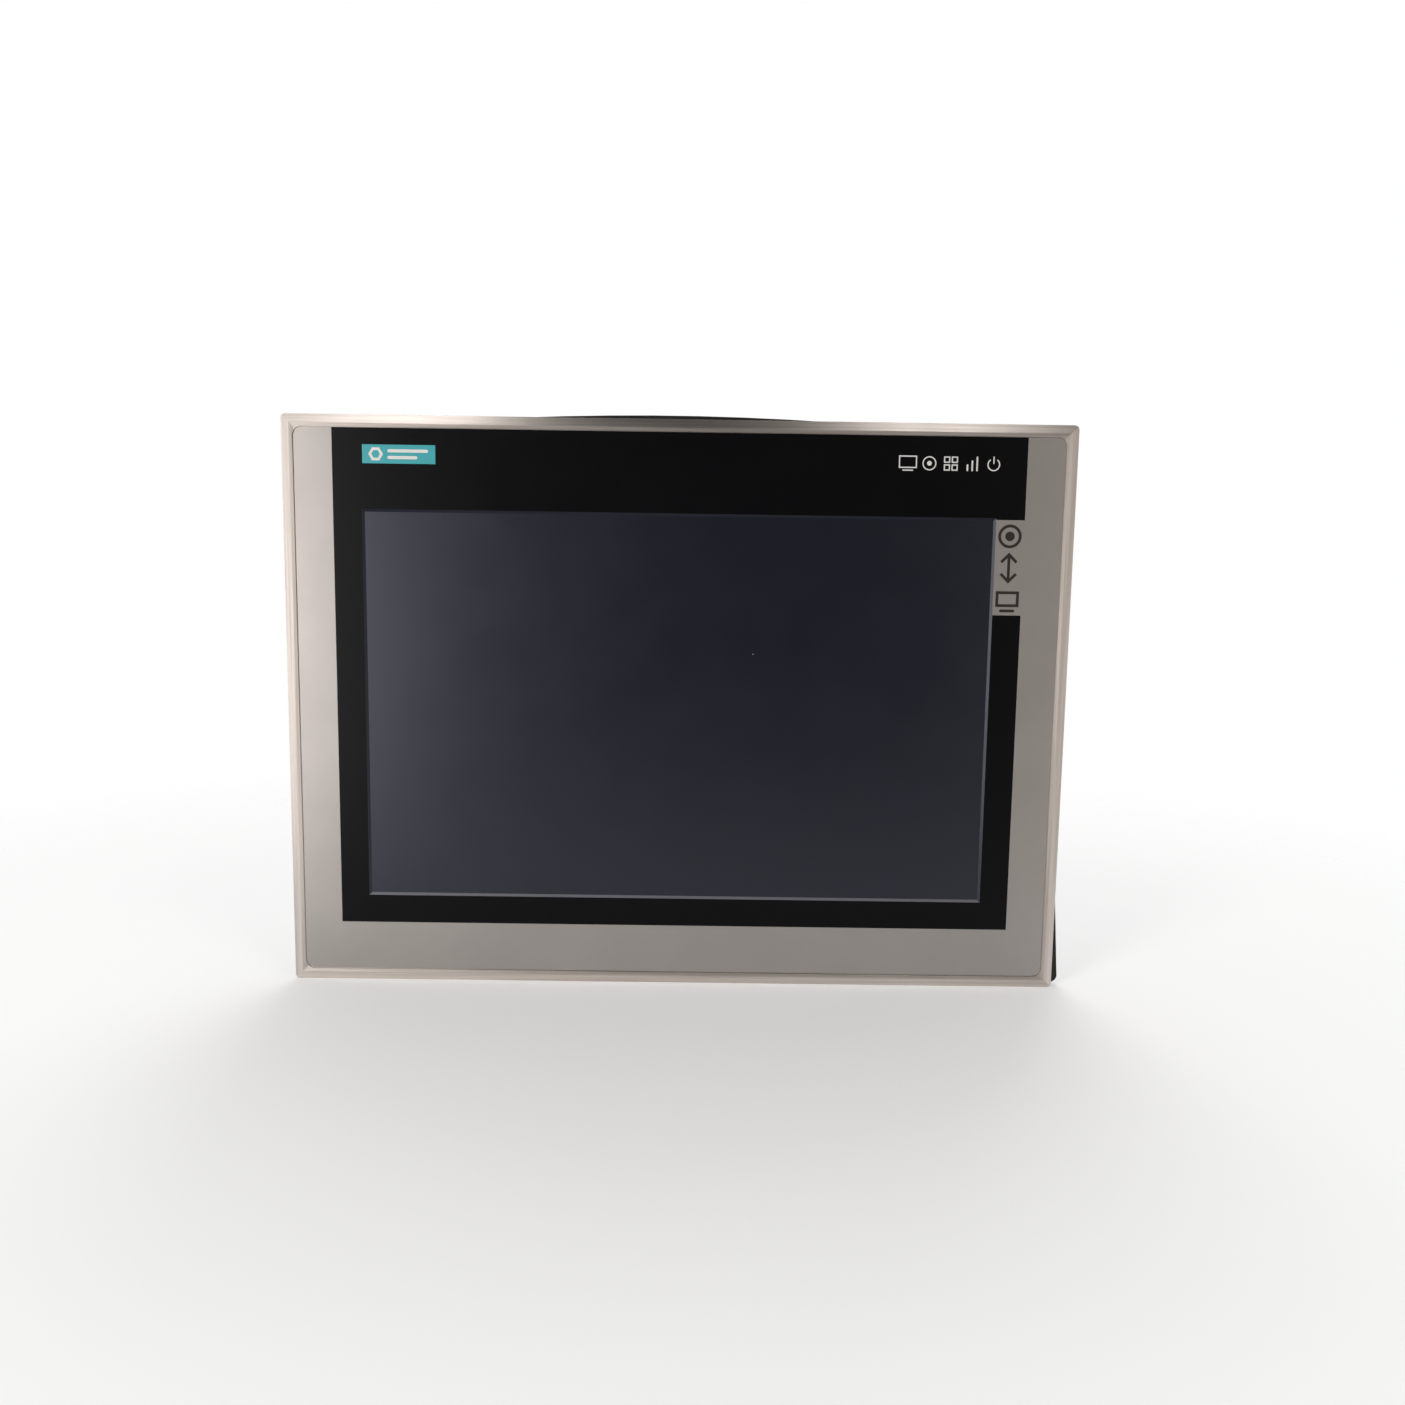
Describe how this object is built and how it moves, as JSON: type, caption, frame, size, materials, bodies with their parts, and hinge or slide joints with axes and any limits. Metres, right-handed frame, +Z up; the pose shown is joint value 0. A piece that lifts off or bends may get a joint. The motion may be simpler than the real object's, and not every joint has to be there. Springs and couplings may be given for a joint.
{
  "type": "panel-mount operator touch panel",
  "caption": "Panel-mount operator touch panel: bevelled metal front frame, grey and black foil round a dark touch display, steel rear housing with connectors below, clips and clamping screws.",
  "frame": {"origin": "centre of the cabinet cut-out, on the plane of the cabinet's front face, where the rubber seal ends", "axes": "+X to the right and +Z up as seen from the front, +Y into the cabinet, so the display faces -Y"},
  "size_m": [0.3336, 0.0653, 0.2429],
  "materials": {
    "frame_metal": "satin, brushed along each side, bright bevel",
    "seal_rubber": "matt black",
    "grey_foil": "fine-textured polyester foil, warm light grey",
    "black_print": "deep black, satin gloss",
    "dark_film": "anti-glare film over a dark display, bluish",
    "teal_plate": "plain, unmarked",
    "adhesive_tape": "double-sided tape",
    "clear_glass": "clear",
    "amber_flex": "amber polyimide",
    "black_foam": "soft foam",
    "module_steel": "thin plated sheet",
    "display_cell": "dark liquid-crystal cell",
    "acrylic_sheet": "clear acrylic stack",
    "lamp_strip": "white strip with yellow lamps",
    "plate_aluminium": "mill finish",
    "brass": "plain",
    "zinc_screw": "zinc plated",
    "board_laminate": "green solder resist",
    "chip_black": "moulded black",
    "anodised_black": "black anodised",
    "cell_can": "plain can",
    "ferrite_grey": "ferrite",
    "capacitor_sleeve": "sleeved can",
    "ribbon_plastic": "white ribbon",
    "lead_rubber": "red insulated pair",
    "housing_steel": "zinc-coated sheet, matt with faint spangle",
    "label_silver": "blank silver label",
    "socket_green": "moulded green",
    "plug_green": "moulded green",
    "port_metal": "tinned shell",
    "port_black": "moulded black",
    "lock_grey": "moulded dark grey",
    "clip_metal": "die cast"
  },
  "bodies": {
    "panel": {"front_frame": "frame_metal", "mounting_seal": "seal_rubber", "front_foil": "grey_foil", "black_border": "black_print", "touch_film": "dark_film", "badge_plate": "teal_plate", "touch_adhesive": "adhesive_tape", "touch_glass": "clear_glass", "touch_tail": "amber_flex", "display_gasket": "black_foam", "display_bezel": "module_steel", "lcd_panel": "display_cell", "light_guide": "acrylic_sheet", "led_bar": "lamp_strip", "display_tray": "module_steel", "carrier_plate": "plate_aluminium", "standoffs": "brass", "case_screws": "zinc_screw", "main_board": "board_laminate", "board_chips": "chip_black", "heatsink": "anodised_black", "clock_cell": "cell_can", "power_board": "board_laminate", "power_coils": "ferrite_grey", "power_capacitors": "capacitor_sleeve", "display_ribbon": "ribbon_plastic", "backlight_lead": "lead_rubber", "rear_tub": "housing_steel", "rear_cover": "housing_steel", "rating_plate": "label_silver", "power_socket": "socket_green", "power_pins": "brass", "network_ports": "port_metal", "serial_port": "port_metal", "serial_insert": "port_black", "serial_standoffs": "zinc_screw", "usb_ports": "port_metal", "audio_jack": "port_black", "card_cage": "port_metal", "lock_rails": "housing_steel", "earth_stud": "brass", "earth_hardware": "zinc_screw", "cable_rail": "housing_steel", "mounting_clips": "clip_metal"},
    "plug": {"power_plug": "plug_green"},
    "pole_screw_1": {"terminal_screw_1": "zinc_screw"},
    "pole_screw_2": {"terminal_screw_2": "zinc_screw"},
    "lock": {"card_lock": "lock_grey"},
    "screw_1": {"clamp_screw_1": "zinc_screw"},
    "screw_2": {"clamp_screw_2": "zinc_screw"},
    "screw_3": {"clamp_screw_3": "zinc_screw"},
    "screw_4": {"clamp_screw_4": "zinc_screw"},
    "screw_5": {"clamp_screw_5": "zinc_screw"},
    "screw_6": {"clamp_screw_6": "zinc_screw"},
    "screw_7": {"clamp_screw_7": "zinc_screw"},
    "screw_8": {"clamp_screw_8": "zinc_screw"},
    "screw_9": {"clamp_screw_9": "zinc_screw"},
    "screw_10": {"clamp_screw_10": "zinc_screw"},
    "screw_11": {"clamp_screw_11": "zinc_screw"},
    "screw_12": {"clamp_screw_12": "zinc_screw"}
  },
  "joints": [
    {"name": "plug_pull", "type": "slide", "parent": "panel", "child": "plug", "axis": [0, 0, -1], "range_m": [0, 0.014]},
    {"name": "pole_screw_1_travel", "type": "slide", "parent": "plug", "child": "pole_screw_1", "axis": [0, 1, 0], "range_m": [0, 0.002]},
    {"name": "pole_screw_2_travel", "type": "slide", "parent": "plug", "child": "pole_screw_2", "axis": [0, 1, 0], "range_m": [0, 0.002]},
    {"name": "lock_slide", "type": "slide", "parent": "panel", "child": "lock", "axis": [1, 0, 0], "range_m": [0, 0.027]},
    {"name": "clamp_1", "type": "slide", "parent": "panel", "child": "screw_1", "axis": [0, 1, 0], "range_m": [-0.0032, 0.001]},
    {"name": "clamp_2", "type": "slide", "parent": "panel", "child": "screw_2", "axis": [0, 1, 0], "range_m": [-0.0032, 0.001]},
    {"name": "clamp_3", "type": "slide", "parent": "panel", "child": "screw_3", "axis": [0, 1, 0], "range_m": [-0.0032, 0.001]},
    {"name": "clamp_4", "type": "slide", "parent": "panel", "child": "screw_4", "axis": [0, 1, 0], "range_m": [-0.0032, 0.001]},
    {"name": "clamp_5", "type": "slide", "parent": "panel", "child": "screw_5", "axis": [0, 1, 0], "range_m": [-0.0032, 0.001]},
    {"name": "clamp_6", "type": "slide", "parent": "panel", "child": "screw_6", "axis": [0, 1, 0], "range_m": [-0.0032, 0.001]},
    {"name": "clamp_7", "type": "slide", "parent": "panel", "child": "screw_7", "axis": [0, 1, 0], "range_m": [-0.0032, 0.001]},
    {"name": "clamp_8", "type": "slide", "parent": "panel", "child": "screw_8", "axis": [0, 1, 0], "range_m": [-0.0032, 0.001]},
    {"name": "clamp_9", "type": "slide", "parent": "panel", "child": "screw_9", "axis": [0, 1, 0], "range_m": [-0.0032, 0.001]},
    {"name": "clamp_10", "type": "slide", "parent": "panel", "child": "screw_10", "axis": [0, 1, 0], "range_m": [-0.0032, 0.001]},
    {"name": "clamp_11", "type": "slide", "parent": "panel", "child": "screw_11", "axis": [0, 1, 0], "range_m": [-0.0032, 0.001]},
    {"name": "clamp_12", "type": "slide", "parent": "panel", "child": "screw_12", "axis": [0, 1, 0], "range_m": [-0.0032, 0.001]}
  ]
}
